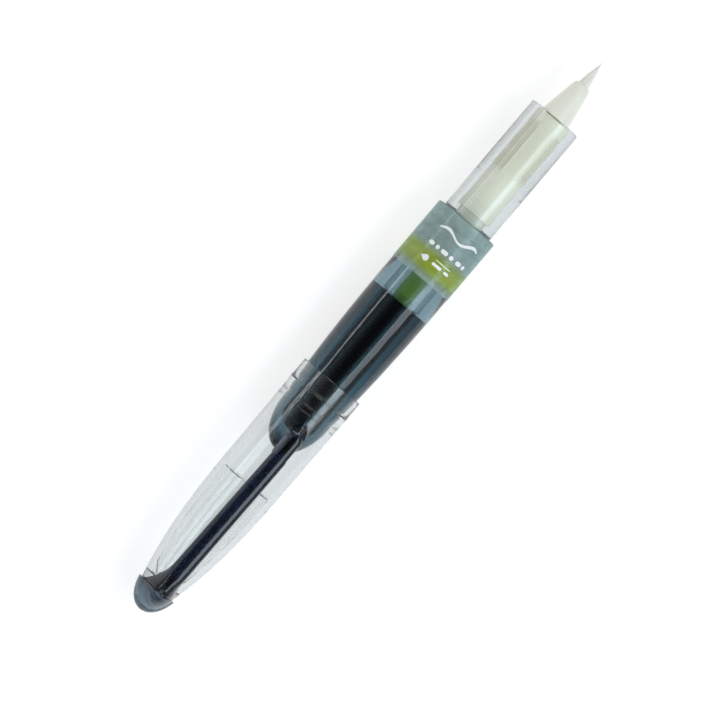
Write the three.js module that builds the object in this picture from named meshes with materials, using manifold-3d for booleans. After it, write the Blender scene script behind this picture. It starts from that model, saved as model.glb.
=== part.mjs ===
// A small cartridge brush pen with its cap posted on the tail of the barrel.
// Millimetres, +Z up. The pen lies along X, brush towards +X, clip upwards, on the plane z = 0.
// Every station below is a distance along X from the mouth of the barrel, where x = 0.
import * as THREE from 'three';
import { mergeVertices } from 'three/addons/utils/BufferGeometryUtils.js';
import Module from 'manifold-3d';

const wasm = await Module();
wasm.setup();

// ---- Driving dimensions -------------------------------------------------------------------------

// Barrel: a thick-walled tube closed by a rounded tail.
const barrelLength = 53.15;
const barrelRadius = 6.31;          // at the mouth
const tailRadius = 5.15;            // where the rounded tail begins
const tailNose = 9.0;               // length of the rounded tail
const barrelSwell = 13.1;           // straight stretch of the barrel behind its mouth
const swellPower = 2.4;             // how quickly the barrel swells from its tail
const threadWall = 0.57;            // barrel wall left outside the thread
const tailWall = 2.15;              // thickness of the tail's end
const cavityNose = 6.0;             // length of the rounded end of the cavity

// Printed film around the front of the barrel.
const filmLength = 12.9;
const filmThickness = 0.09;
const filmSetback = 0.15;           // behind the barrel's mouth

// Screw thread between the grip section and the barrel.
const threadPitch = 2.0;
const threadDepth = 0.5;
const threadLength = 9.6;
const threadRunOut = 1.9;           // plain stretch between the thread and the barrel's mouth
const threadRowsPerPitch = 6;

// Grip section: the clear tube that the fingers hold, and its sleeve inside the barrel.
const gripLength = 24.4;
const gripRadius = 5.2;
const sleeveLength = 18.5;          // all that lies inside the barrel
const sleeveShoulder = 13.1;        // where the threaded sleeve narrows to the rear socket
const socketRadius = 4.1;
const snapRingStation = 8.2;        // ring that the cap snaps over
const snapRingHeight = 0.1;
const snapRingSlope = 0.4;
const gripEdge = 0.2;               // bevel at the front of the grip

// Collector: the finned ink buffer inside the grip section.
const collectorRadius = 3.6;
const collectorCore = 2.7;          // radius at the bottom of the fins
const finPitch = 0.45;
const finThickness = 0.22;
const finnedLength = 10.8;
const frontFlange = 2.2;
const collectorShank = 2.9;
const collarLength = 2.0;
const collarStation = 1.7;
const smoothRadius = 3.45;
const collectorSetback = 0.4;       // behind the front of the grip
const spineWidth = 2.7;
const spineHeight = 1.2;
const spineSink = 0.25;             // top of the spine below the tips of the fins
const spineLap = 0.2;               // how far it runs on past each end of the fins
const spineTurn = 12;               // degrees from straight up, towards +Y

// Feed: the nipple that pierces the cartridge, and the fibre core that carries the ink.
const nippleRadius = 1.9;
const nippleReach = 1.7;            // how far the nipple stands out of the socket
const nippleFlange = 4.6;
const nippleTaper = 0.4;            // how much narrower the nipple's mouth is
const flangeSetback = 9.1;          // front of the nipple's flange behind the collector's collar
const wickRadius = 0.85;
const wickSetback = 0.5;            // inside the nipple's mouth

// Cartridge.
const cartridgeRadius = 3.6;
const cartridgeWall = 0.45;
const cartridgeNose = 3.0;          // length of its rounded tail
const cartridgeCollar = 2.8;        // length of the thicker collar at its mouth
const collarProud = 0.13;
const neckLength = 1.0;
const neckWall = 0.5;
const cartridgeShoulder = 1.2;      // wall between the ink and the neck
const cartridgeSetback = 1.9;       // tail of the cartridge in front of the cavity's end
const ballRadius = 1.95;

// Tip holder and brush.
const holderReach = 7.8;            // beyond the grip section
const holderRadius = 2.85;
const holderStraight = 2.4;
const holderNose = 1.72;
const holderLip = 1.56;
const holderPlug = 3.6;
const holderPlugRadius = 2.0;
const holderRoom = 0.27;            // around the brush in the holder's mouth
const brushReach = 5.5;
const brushRadius = 1.08;
const pivotDepth = 0.2;             // pivot of the brush inside the holder's mouth

// Cap: a clear shell, an inner cap, and a crown that carries the clip.
const capLength = 53.5;
const postedDepth = 15.85;          // how much of the barrel's tail the cap covers
const capLip = 0.6;                 // wall at the cap's mouth
const capBelly = 0.11;              // how much narrower the cap is at its belly than at its mouth
const bellyStation = 36;            // from the end of the crown
const capEndRadius = 3.5;
const capPower = 2.8;
const capWall = 1.0;
const hollowStart = 8.6;            // inside of the shell, from the end of the crown
const hollowEnd = 27.5;
const beadHalf = 0.3;               // half the flat of a snap bead
const beadSlope = 0.5;
const rearBeadStation = 46.7;       // snap beads inside the cap, from the end of the crown
const frontBeadStation = 49.2;
const bulgeHeight = 0.1;            // raised ring outside the front bead

const crownLength = 4.84;
const crownRadius = 4.2;
const crownDome = 6.5;
const spigotRadius = 2.1;
const spigotLength = 1.1;

const innerCapRim = 29.9;           // from the end of the crown
const innerCapFloor = 7.2;
const innerCapStraight = 18.0;
const innerCapRoom = 0.77;          // around the tip holder
const innerCapLip = 1.9;            // length of its flared lip

// Clip.
const clipWidth = 3.6;
const clipTipWidth = 3.2;
const clipThickness = 1.3;
const clipRise = 0.0633;            // slope of the arm
const clipRide = 0.04;              // middle of the arm above the cap's belly, at clipDatum
const clipDatum = 9.0;
const padLength = 3.6;
const clipPoint = 4.0;              // length of the point beyond the pad
const clipLength = 44.7;            // from the end of the crown to the clip's point
const clipHinge = 5.5;

// Clearances.
const slideFit = 0.15;              // pieces that slide in one another
const bodyGap = 0.3;                // faces that meet
const threadFit = 0.25;
const cartridgeRoom = 0.34;         // between the cartridge and the barrel
const capSlip = 0.13;               // between the grip section and the cap
const beadFit = 0.1;                // between the front snap bead and the barrel
const filmFit = 0.03;

const round = 28;                   // segments around the larger turned pieces
const smallRound = 20;
const collectorRound = 14;

// ---- Stations and fits that follow from them ----------------------------------------------------

const tailEnd = -barrelLength;
const capMouth = tailEnd + postedDepth;
const capEnd = capMouth - capLength;
const gripFront = gripLength;
const holderEnd = gripFront + holderReach;
const brushPoint = holderEnd + brushReach;

const femaleRoot = barrelRadius - threadWall;
const maleRoot = femaleRoot - threadDepth - threadFit;
const threadEnd = -threadRunOut;
const threadStart = threadEnd - threadLength;
const pilotRadius = femaleRoot - slideFit;
const sectionBore = collectorRadius + slideFit;

const barrelCavity = cartridgeRadius + cartridgeRoom;
const socketRear = -sleeveLength;
const barrelStep = socketRear - bodyGap;
const cavityEnd = tailEnd + tailWall;

const neckBore = nippleRadius + slideFit;
const neckRadius = neckBore + neckWall;
const socketBore = neckRadius + slideFit;
const cartridgeFace = socketRear - bodyGap;
const cartridgeEnd = cavityEnd + cartridgeSetback;
const wickBore = wickRadius + slideFit;

const flangeFront = collarStation - flangeSetback;
const flangeRear = flangeFront - nippleFlange;
const collectorRear = flangeFront + bodyGap;
const collectorFront = gripFront - collectorSetback;
const holderBore = brushRadius + holderRoom;
const brushPivot = holderEnd - pivotDepth;

const postedRadius = barrelOuter(capMouth);
const mouthBore = postedRadius + slideFit;
const capMouthRadius = mouthBore + capLip;
const bellyRadius = capMouthRadius - capBelly;
const clipHeight = bellyRadius + clipRide;
const padEnd = clipLength - clipPoint;
const padStart = padEnd - padLength;
const capBore = Math.max(gripRadius + capSlip, barrelOuter(capEnd + rearBeadStation) + slideFit);
const bulgeStation = frontBeadStation + 2 * beadHalf;
const bulgeRadius = capOuter(bulgeStation) + bulgeHeight;
const filmRadius = barrelRadius + filmFit + filmThickness;
const lowestRadius = Math.max(bulgeRadius, filmRadius);

const clear = plastic(0xd9e0de, 0.12);
const smoky = plastic(0x4b6470, 0.15);
const smokyDark = plastic(0x17202b, 0.18);
const cream = plastic(0xdcdcc4, 0.45);
const lime = plastic(0x93a83a, 0.4);
const fibre = plastic(0xe6e4d6, 0.9);
const white = plastic(0xd8d9d2, 0.4);
const film = plastic(0x8ba3a0, 0.3);
const ink = plastic(0x0c121e, 0.1);
const steel = new THREE.MeshStandardMaterial({ color: 0xb9bcc0, roughness: 0.2, metalness: 1 });

function plastic(color, roughness) {
  return new THREE.MeshStandardMaterial({ color, roughness, metalness: 0 });
}

// ---- Curves -------------------------------------------------------------------------------------

// Radius of a rounded nose at a distance from its point.
function noseRadius(distance, length, radius) {
  const left = 1 - Math.min(distance / length, 1);
  return radius * Math.sqrt(1 - left * left);
}

// Outer radius of the barrel at a station.
function barrelOuter(x) {
  const distance = x - tailEnd;
  if (distance < tailNose) return noseRadius(distance, tailNose, tailRadius);
  const run = barrelLength - tailNose - barrelSwell;
  const left = Math.max(-barrelSwell - x, 0) / run;
  return barrelRadius - (barrelRadius - tailRadius) * Math.pow(left, swellPower);
}

// Outer radius of the cap at a distance from the end of the crown.
function capOuter(distance) {
  if (distance >= bellyStation) {
    const along = (distance - bellyStation) / (capLength - bellyStation);
    return bellyRadius + capBelly * along;
  }
  const left = (bellyStation - distance) / (bellyStation - crownLength);
  return bellyRadius - (bellyRadius - capEndRadius) * Math.pow(left, capPower);
}

// Inner radius of the cap's shell, which follows its outside up to the straight bore.
function capInner(distance) {
  return Math.min(capOuter(distance) - capWall, capBore);
}

// Evenly spaced numbers, both ends included.
function steps(from, to, count) {
  return Array.from({ length: count + 1 }, (_, i) => from + ((to - from) * i) / count);
}

// Distances from a nose's point, closer together where the nose curves most.
function noseSteps(length, count) {
  return steps(0, Math.PI / 2, count).map((angle) => length * (1 - Math.cos(angle)));
}

// ---- Solids -------------------------------------------------------------------------------------

// A turned piece. The outline is a list of [station, radius]: along the outside towards +X, then
// back along the inside. An outline that doesn't start on the axis closes on itself.
function turned(outline, segments) {
  const points = outline.map(([x, radius]) => new THREE.Vector2(radius, x));
  if (outline[0][1] > 0) points.push(points[0].clone());
  const geometry = new THREE.LatheGeometry(points, segments);
  geometry.rotateZ(-Math.PI / 2);
  return geometry;
}

function toSolid(geometry) {
  const bare = geometry.index ? geometry.clone() : mergeVertices(geometry);
  bare.deleteAttribute('normal');
  bare.deleteAttribute('uv');
  const merged = mergeVertices(bare, 1e-5);
  const corners = merged.index.array;
  const kept = [];
  for (let i = 0; i < corners.length; i += 3) {
    const [a, b, c] = corners.slice(i, i + 3);
    if (a !== b && b !== c && c !== a) kept.push(a, b, c);
  }
  return new wasm.Manifold(new wasm.Mesh({
    numProp: 3,
    vertProperties: new Float32Array(merged.attributes.position.array),
    triVerts: new Uint32Array(kept),
  }));
}

function toGeometry(solid) {
  const mesh = solid.getMesh();
  const geometry = new THREE.BufferGeometry();
  geometry.setAttribute('position', new THREE.BufferAttribute(mesh.vertProperties, 3));
  geometry.setIndex(new THREE.BufferAttribute(mesh.triVerts, 1));
  geometry.computeVertexNormals();
  return geometry;
}

// A flat outline of [x, height] points given a width across Y.
function slab(outline, width) {
  const shape = new THREE.Shape(outline.map(([x, z]) => new THREE.Vector2(x, z)));
  const geometry = new THREE.ExtrudeGeometry(shape, { depth: width, bevelEnabled: false });
  geometry.translate(0, 0, -width / 2);
  geometry.rotateX(Math.PI / 2);
  return toSolid(geometry);
}

// A plan outline of [x, y] points given a height along Z.
function plate(outline, low, high) {
  const shape = new THREE.Shape(outline.map(([x, y]) => new THREE.Vector2(x, y)));
  const geometry = new THREE.ExtrudeGeometry(shape, { depth: high - low, bevelEnabled: false });
  geometry.translate(0, 0, low);
  return toSolid(geometry);
}

function piece(name, geometry, material) {
  const mesh = new THREE.Mesh(geometry, material);
  mesh.name = name;
  return mesh;
}

// ---- Thread -------------------------------------------------------------------------------------

function threadStations() {
  const rows = Math.round((threadLength / threadPitch) * threadRowsPerPitch);
  return steps(threadStart, threadEnd, rows);
}

// How much of the full thread stands at a station: it runs out over half a pitch at each end.
function threadFade(x) {
  const inside = Math.min(x - threadStart, threadEnd - x) / (threadPitch / 2);
  return THREE.MathUtils.clamp(inside, 0, 1);
}

// Raises a right-handed thread on every point of a turned piece that lies at the root radius.
// Outward is 1 for the thread on the section and -1 for the thread in the barrel.
function cutThread(geometry, root, outward) {
  const points = geometry.attributes.position;
  for (let i = 0; i < points.count; i += 1) {
    const [x, y, z] = [points.getX(i), points.getY(i), points.getZ(i)];
    const inZone = x > threadStart && x < threadEnd;
    if (!inZone || Math.abs(Math.hypot(y, z) - root) > 1e-3) continue;
    const wave = Math.cos((2 * Math.PI * x) / threadPitch - Math.atan2(z, y));
    const height = threadDepth * 0.5 * (1 + outward * wave) * threadFade(x);
    const scale = (root + outward * height) / root;
    points.setY(i, y * scale);
    points.setZ(i, z * scale);
  }
  return geometry;
}

// ---- Barrel -------------------------------------------------------------------------------------

function barrel() {
  const nose = noseSteps(tailNose, 7).map((d) => [tailEnd + d, noseRadius(d, tailNose, tailRadius)]);
  const swell = steps(tailEnd + tailNose, -barrelSwell, 5).slice(1).map((x) => [x, barrelOuter(x)]);
  const thread = threadStations().reverse().map((x) => [x, femaleRoot]);
  const cavity = noseSteps(cavityNose, 5).reverse()
    .map((d) => [cavityEnd + d, noseRadius(d, cavityNose, barrelCavity)]);
  const stepBore = maleRoot + threadDepth;
  const outline = [
    ...nose,
    ...swell,
    [0, barrelRadius],
    [0, femaleRoot],
    ...thread,
    [threadStart - 0.4, stepBore],
    [barrelStep, stepBore],
    [barrelStep, barrelCavity],
    ...cavity,
  ];
  return piece('barrel', cutThread(turned(outline, round), femaleRoot, -1), smoky);
}

function printedFilm() {
  const inner = barrelRadius + filmFit;
  const front = -filmSetback;
  const rear = front - filmLength;
  const outline = [[rear, filmRadius], [front, filmRadius], [front, inner], [rear, inner]];
  return piece('label_film', turned(outline, round), film);
}

// ---- Grip section -------------------------------------------------------------------------------

function gripSection() {
  const thread = threadStations().map((x) => [x, maleRoot]);
  const ring = snapRingStation;
  const outline = [
    [socketRear, socketBore],
    [socketRear, socketRadius],
    [-sleeveShoulder, socketRadius],
    [-sleeveShoulder, maleRoot],
    ...thread,
    [threadEnd + 0.3, pilotRadius],
    [-0.1, pilotRadius],
    [0.2, gripRadius],
    [ring - snapRingSlope, gripRadius],
    [ring, gripRadius + snapRingHeight],
    [ring + snapRingSlope, gripRadius],
    [gripFront - gripEdge, gripRadius],
    [gripFront, gripRadius - gripEdge],
    [gripFront, sectionBore],
    [flangeRear - bodyGap, sectionBore],
    [flangeRear - bodyGap, socketBore],
  ];
  return piece('grip_section', cutThread(turned(outline, round), maleRoot, 1), clear);
}

// ---- Feed ---------------------------------------------------------------------------------------

function collector() {
  const finsEnd = collectorFront - frontFlange;
  const fins = [];
  const count = Math.floor(finnedLength / finPitch);
  for (let i = 0; i < count; i += 1) {
    const rear = finsEnd - finnedLength + i * finPitch;
    const front = rear + finPitch - finThickness;
    fins.push([rear, collectorCore], [front, collectorCore]);
    fins.push([front, collectorRadius], [rear + finPitch, collectorRadius]);
  }
  const outline = [
    [collectorRear, wickBore],
    [collectorRear, collectorShank],
    [collarStation, collectorShank],
    [collarStation, collectorRadius],
    [collarStation + collarLength, collectorRadius],
    [collarStation + collarLength, smoothRadius],
    [finsEnd - finnedLength, smoothRadius],
    ...fins,
    [collectorFront, collectorRadius],
    [collectorFront, holderPlugRadius + slideFit],
    [collectorFront - holderPlug, holderPlugRadius + slideFit],
    [collectorFront - holderPlug, wickBore],
  ];
  const comb = toSolid(turned(outline, collectorRound));
  const spine = new THREE.BoxGeometry(finnedLength + 2 * spineLap, spineWidth, spineHeight);
  spine.translate(finsEnd - finnedLength / 2, 0, collectorRadius - spineSink - spineHeight / 2);
  spine.rotateX(THREE.MathUtils.degToRad(-spineTurn));
  return piece('collector', toGeometry(comb.add(toSolid(spine))), cream);
}

function feedNipple() {
  const rear = socketRear - nippleReach;
  const outline = [
    [rear, wickBore],
    [rear, nippleRadius - nippleTaper],
    [rear + 0.7, nippleRadius],
    [flangeRear, nippleRadius],
    [flangeRear, collectorRadius],
    [flangeFront, collectorRadius],
    [flangeFront, wickBore],
  ];
  return piece('feed_nipple', turned(outline, smallRound), lime);
}

function inkWick() {
  const rear = socketRear - nippleReach + wickSetback;
  const front = brushPivot - brushRadius - bodyGap;
  const outline = [[rear, 0], [rear, wickRadius], [front, wickRadius], [front, 0]];
  return piece('ink_wick', turned(outline, 12), fibre);
}

function tipHolder() {
  const rear = collectorFront - holderPlug + bodyGap;
  const shoulder = collectorFront + bodyGap;
  const seat = brushPivot - brushRadius - bodyGap - 0.2;
  const outline = [
    [rear, wickBore],
    [rear, holderPlugRadius],
    [shoulder, holderPlugRadius],
    [shoulder, holderRadius],
    [gripFront + holderStraight, holderRadius],
    [holderEnd - 0.5, holderNose],
    [holderEnd - 0.15, holderLip + 0.08],
    [holderEnd, holderLip],
    [holderEnd, holderBore],
    [seat, holderBore],
    [seat, wickBore],
  ];
  return piece('tip_holder', turned(outline, 24), white);
}

// The brush has a round root, so that it can bend about its pivot inside the holder's mouth.
function brushTip() {
  const root = steps(0, Math.PI / 2, 4).map((angle) => [
    brushPivot - brushRadius * Math.cos(angle),
    brushRadius * Math.sin(angle),
  ]);
  const reach = brushPoint - brushPivot;
  const outline = [
    ...root,
    [brushPivot + reach * 0.35, brushRadius * 0.78],
    [brushPivot + reach * 0.7, brushRadius * 0.45],
    [brushPoint - 0.25, brushRadius * 0.16],
    [brushPoint, 0],
  ];
  return piece('brush_tip', turned(outline, 16), fibre);
}

// ---- Cartridge ----------------------------------------------------------------------------------

function cartridge() {
  const bore = cartridgeRadius - cartridgeWall;
  const collarRadius = cartridgeRadius + collarProud;
  const nose = noseSteps(cartridgeNose, 5).map((d) => [
    cartridgeEnd + d,
    noseRadius(d, cartridgeNose, cartridgeRadius),
  ]);
  const outline = [
    ...nose,
    [cartridgeFace - cartridgeCollar, cartridgeRadius],
    [cartridgeFace - cartridgeCollar + 0.2, collarRadius],
    [cartridgeFace, collarRadius],
    [cartridgeFace, neckRadius],
    [cartridgeFace + bodyGap + neckLength, neckRadius],
    [cartridgeFace + bodyGap + neckLength, neckBore],
    [cartridgeFace - cartridgeShoulder, neckBore],
    [cartridgeFace - cartridgeShoulder, bore],
    [cartridgeEnd + cartridgeNose, bore],
    [cartridgeEnd + 1.4, bore * 0.75],
    [cartridgeEnd + 0.7, 0],
  ];
  return piece('cartridge_body', turned(outline, smallRound), white);
}

// The ball that sealed the cartridge lies where the nipple has pushed it, in a pocket in the ink.
function cartridgeBall() {
  const outline = steps(0, Math.PI, 8).map((angle) => [
    ballStation() - ballRadius * Math.cos(angle),
    ballRadius * Math.max(Math.sin(angle), 0),
  ]);
  outline[outline.length - 1][1] = 0;
  return piece('cartridge_ball', turned(outline, 14), steel);
}

function ballStation() {
  return socketRear - nippleReach - bodyGap - ballRadius;
}

function inkCharge() {
  const radius = cartridgeRadius - cartridgeWall - slideFit;
  const rear = cartridgeEnd + 1.5;
  const front = cartridgeFace - cartridgeShoulder - bodyGap;
  const pocket = ballRadius + slideFit;
  const hollow = steps(0, Math.PI / 2, 4).reverse().map((angle) => [
    ballStation() - pocket * Math.cos(angle),
    pocket * Math.sin(angle),
  ]);
  hollow[hollow.length - 1][1] = 0;
  const outline = [
    [rear, 0],
    [rear, radius * 0.5],
    [cartridgeEnd + cartridgeNose + 0.1, radius],
    [front, radius],
    [front, pocket],
    ...hollow,
  ];
  return piece('ink_charge', turned(outline, smallRound), ink);
}

// ---- Cap ----------------------------------------------------------------------------------------

function capShell() {
  const end = crownLength + bodyGap;
  const outer = [...steps(end, bellyStation, 9), frontBeadStation - 0.1].map((d) => [d, capOuter(d)]);
  const inner = steps(hollowStart, hollowEnd, 6).reverse().map((d) => [d, capInner(d)]);
  const beadRear = barrelOuter(capEnd + rearBeadStation + beadHalf) + slideFit;
  const beadFront = barrelOuter(capEnd + frontBeadStation + beadHalf) + beadFit;
  const bead = beadHalf + beadSlope;
  const outline = [
    ...outer,
    [bulgeStation, bulgeRadius],
    [bulgeStation + 0.7, capOuter(bulgeStation + 0.7)],
    [capLength, capMouthRadius],
    [capLength, mouthBore],
    [frontBeadStation + bead, barrelOuter(capEnd + frontBeadStation + bead) + 2 * slideFit],
    [frontBeadStation + beadHalf, beadFront],
    [frontBeadStation - beadHalf, beadFront],
    [frontBeadStation - bead, Math.max(beadFront, capBore)],
    [rearBeadStation + bead, Math.max(beadRear, capBore)],
    [rearBeadStation + beadHalf, beadRear],
    [rearBeadStation - beadHalf, beadRear],
    [rearBeadStation - bead, capBore],
    ...inner,
    [end + spigotLength + bodyGap, capInner(hollowStart) - 0.4],
    [end + spigotLength + bodyGap, spigotRadius + slideFit],
    [end, spigotRadius + slideFit],
  ];
  return piece('cap_shell', turned(outline, 32), clear);
}

function innerCap() {
  const straight = holderRadius + innerCapRoom;
  const skin = (d) => Math.min(capInner(d) - slideFit - 0.05, capBore - slideFit);
  const floor = innerCapFloor;
  const outline = [
    [floor - 0.5, 0],
    [floor - 0.5, 1.7],
    ...steps(8.8, innerCapRim, 6).map((d) => [d, skin(d)]),
    [innerCapRim, straight + 1.0],
    [innerCapRim - innerCapLip, straight],
    [innerCapStraight, straight],
    [innerCapStraight - 2.8, straight * 0.907],
    [innerCapStraight - 5.4, straight * 0.728],
    [innerCapStraight - 9.0, straight * 0.536],
    [floor + 0.5, straight * 0.3],
    [floor + 0.2, 0],
  ];
  return piece('inner_cap', turned(outline, 24), clear);
}

// Middle of the clip's arm above the pen's axis, at a distance from the end of the crown.
function armMiddle(distance) {
  return clipHeight + clipRise * (distance - clipDatum);
}

function capCrown() {
  const dome = noseSteps(crownDome, 8).filter((d) => d < crownLength);
  const outline = [
    ...dome.map((d) => [d, noseRadius(d, crownDome, crownRadius)]),
    [crownLength, noseRadius(crownLength, crownDome, crownRadius)],
    [crownLength, spigotRadius],
    [crownLength + spigotLength, spigotRadius],
    [crownLength + spigotLength, 0],
  ];
  const split = clipHinge - bodyGap / 2;
  const top = armMiddle(split) + clipThickness / 2;
  const root = slab([
    [1.2, 0.5],
    [crownLength - 0.1, 0.5],
    [crownLength - 0.1, 4.6],
    [split, armMiddle(split) - clipThickness / 2],
    [split, top],
    [split - 1.3, top - 0.25],
    [split - 2.6, top - 1.2],
    [1.2, 2.6],
  ], clipWidth);
  return piece('cap_crown', toGeometry(toSolid(turned(outline, 28)).add(root)), smoky);
}

function clipArm() {
  const from = clipHinge + bodyGap / 2;
  const under = (d) => armMiddle(d) - clipThickness / 2;
  const padFace = capOuter(padStart) + bodyGap;
  const side = slab([
    [from, under(from)],
    [padStart - 0.6, under(padStart - 0.6)],
    [padStart, padFace],
    [padEnd, padFace],
    [padEnd + 0.5, under(padEnd)],
    [clipLength, under(clipLength) + 0.35],
    [clipLength, armMiddle(clipLength)],
    [padEnd, armMiddle(padEnd) + clipThickness / 2],
    [from, armMiddle(from) + clipThickness / 2],
  ], clipWidth);
  const half = clipWidth / 2;
  const tip = clipTipWidth / 2;
  const plan = plate([
    [from - 1, -half],
    [padEnd, -tip],
    [padEnd + clipPoint * 0.6, -tip * 0.55],
    [clipLength - 0.05, -0.1],
    [clipLength - 0.05, 0.1],
    [padEnd + clipPoint * 0.6, tip * 0.55],
    [padEnd, tip],
    [from - 1, half],
  ], 0, 20);
  return piece('clip_arm', toGeometry(side.intersect(plan)), smokyDark);
}

// ---- Assembly -----------------------------------------------------------------------------------

const cap = new THREE.Group();
cap.add(capShell(), innerCap(), capCrown(), clipArm());
cap.position.x = capEnd;

const refill = new THREE.Group();
refill.add(cartridge(), cartridgeBall(), inkCharge());

const front = new THREE.Group();
front.add(gripSection(), collector(), feedNipple(), inkWick(), tipHolder(), brushTip());

const pen = new THREE.Group();
pen.add(barrel(), printedFilm(), refill, front, cap);
pen.position.set(-(capEnd + brushPoint) / 2, 0, lowestRadius);

export default pen;
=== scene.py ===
import functools
import math

import bmesh
import bpy
from mathutils import Matrix, Vector


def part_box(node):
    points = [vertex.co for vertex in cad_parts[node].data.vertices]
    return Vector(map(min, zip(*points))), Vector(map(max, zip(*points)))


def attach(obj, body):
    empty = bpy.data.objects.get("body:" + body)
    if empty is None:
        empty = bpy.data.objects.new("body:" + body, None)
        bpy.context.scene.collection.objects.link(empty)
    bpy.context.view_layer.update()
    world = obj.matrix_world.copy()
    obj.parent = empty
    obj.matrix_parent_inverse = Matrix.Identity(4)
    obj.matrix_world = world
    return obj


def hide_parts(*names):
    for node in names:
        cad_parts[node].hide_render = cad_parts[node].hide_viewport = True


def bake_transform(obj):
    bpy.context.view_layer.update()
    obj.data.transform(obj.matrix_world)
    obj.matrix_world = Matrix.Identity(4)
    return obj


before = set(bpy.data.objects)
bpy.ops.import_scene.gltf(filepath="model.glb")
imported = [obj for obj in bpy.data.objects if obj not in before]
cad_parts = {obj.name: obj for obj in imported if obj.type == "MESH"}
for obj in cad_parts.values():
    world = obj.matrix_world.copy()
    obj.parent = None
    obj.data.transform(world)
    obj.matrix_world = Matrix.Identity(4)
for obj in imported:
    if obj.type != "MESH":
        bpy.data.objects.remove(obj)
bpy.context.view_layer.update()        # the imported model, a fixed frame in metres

bl_info = {
    "name": "Cartridge brush pen",
    "version": (1, 0, 0),
    "blender": (4, 5, 0),
    "location": "View3D > Sidebar > Brush Pen",
    "description": "Models a small cartridge brush pen with its cap posted, round the packed frame",
    "category": "Add Mesh",
}

MM = 0.001

# Stations are millimetres along X from the mouth of the barrel, and radii are from the pen's axis.
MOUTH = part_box("barrel")[1][0]
AXIS = (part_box("barrel")[0][2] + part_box("barrel")[1][2]) / 2
ROUND = 128                 # segments round the large turned pieces
SMALL_ROUND = 96
THREAD_ROW = 0.08           # distance from row to row of a thread's vertices
BODY_GAP = 0.3              # between faces that meet


@functools.cache
def reach(node):
    """The rear and front station of a CAD node."""
    low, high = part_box(node)
    return (low[0] - MOUTH) / MM, (high[0] - MOUTH) / MM


@functools.cache
def radius(node):
    """The largest radius of a turned CAD node."""
    low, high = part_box(node)
    return (high[1] - low[1]) / 2 / MM


# ---- Sizes and colours -------------------------------------------------------------------------------


def size(name, default, description):
    """A length property. The default is in millimetres."""
    return bpy.props.FloatProperty(
        name=name, description=description, default=default * MM, min=0.0, unit="LENGTH", precision=5
    )


def colour(name, default, description):
    return bpy.props.FloatVectorProperty(
        name=name, description=description, default=default, size=3, subtype="COLOR", min=0.0, max=1.0
    )


class BarrelSizes(bpy.types.PropertyGroup):
    tail_radius: size("Tail radius", 5.15, "Radius where the rounded tail begins")
    tail_nose: size("Tail nose", 9.0, "Length of the rounded tail")
    straight: size("Straight stretch", 13.1, "Length behind the mouth that does not taper")
    tail_wall: size("Tail wall", 2.15, "Thickness of the closed end")
    cavity: size("Cavity radius", 3.94, "Bore that the cartridge lies in")
    step_bore: size("Step bore", 5.49, "Bore round the section's rear socket")
    mouth_bore: size("Mouth bore", 5.74, "Bore at the mouth, outside the thread")


class ThreadSizes(bpy.types.PropertyGroup):
    pitch: size("Pitch", 2.0, "Advance in one turn of the right-handed thread")
    depth: size("Depth", 0.5, "Height of the thread")
    rear: size("Length", 11.5, "Distance of the thread's rear end behind the mouth")
    front: size("Run-out", 1.9, "Distance of the thread's front end behind the mouth")
    crest: size("Section crest", 5.49, "Outer radius of the thread on the grip section")


class SectionSizes(bpy.types.PropertyGroup):
    grip_radius: size("Grip radius", 5.2, "Outer radius where the fingers hold")
    bore: size("Bore", 3.75, "Bore round the collector")
    socket_radius: size("Socket radius", 4.1, "Outer radius of the rear socket")
    socket_bore: size("Socket bore", 2.7, "Bore of the rear socket")
    shoulder: size("Shoulder", 13.1, "Where the threaded sleeve narrows, behind the mouth")
    ring: size("Snap ring", 8.2, "Station of the ring that the cap snaps over")


class FeedSizes(bpy.types.PropertyGroup):
    radius: size("Collector radius", 3.6, "Radius over the fins")
    core: size("Collector core", 3.2, "Radius at the bottom of the fins")
    fin_pitch: size("Fin pitch", 0.45, "Distance from fin to fin")
    fin: size("Fin thickness", 0.2, "Thickness of one fin")
    finned: size("Finned length", 10.8, "Length of the comb")
    flange: size("Front flange", 2.2, "Length of the flange in front of the comb")
    spine: size("Spine width", 2.7, "Width of the rib that joins the fins")
    wick: size("Wick radius", 0.85, "Radius of the fibre core")
    nipple_flange: size("Nipple flange", 4.6, "Length of the flange behind the collector")


class CapSizes(bpy.types.PropertyGroup):
    wall: size("Wall", 1.0, "Wall of the shell")
    bore: size("Bore", 5.33, "Straight bore that takes the grip section")
    belly: size("Belly radius", 6.31, "Outer radius at the middle of the cap")
    end_radius: size("End radius", 3.5, "Outer radius beside the crown")
    liner_bore: size("Liner bore", 3.62, "Bore of the inner cap")
    belly_at: size("Belly place", 36.0, "Distance of the belly from the end of the crown")
    flare: size("Flare", 0.11, "How far the cap widens from its belly to its mouth")


class CrownSizes(bpy.types.PropertyGroup):
    radius: size("Crown radius", 4.2, "Radius that the dome grows towards")
    dome: size("Dome length", 6.5, "Length over which the dome would reach that radius")
    skirt: size("Skirt", 4.84, "Length of the crown outside the cap")
    spigot: size("Spigot radius", 2.1, "Radius of the plug inside the cap")
    spigot_end: size("Spigot end", 5.93, "Where that plug ends, from the end of the crown")
    clip_thickness: size("Clip thickness", 1.3, "Thickness along the middle of the clip")
    clip_crown: size("Clip crowning", 0.42, "How far the clip's top falls to its edges")


class CartridgeSizes(bpy.types.PropertyGroup):
    radius: size("Radius", 3.6, "Outer radius of the cartridge")
    wall: size("Wall", 0.45, "Wall of the cartridge")
    nose: size("Rounded tail", 3.0, "Length of the rounded tail")
    collar: size("Collar length", 2.8, "Length of the thicker collar")
    neck: size("Neck radius", 2.55, "Radius of the neck that takes the nipple")
    ball: size("Ball radius", 1.95, "Radius of the sealing ball")


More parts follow.
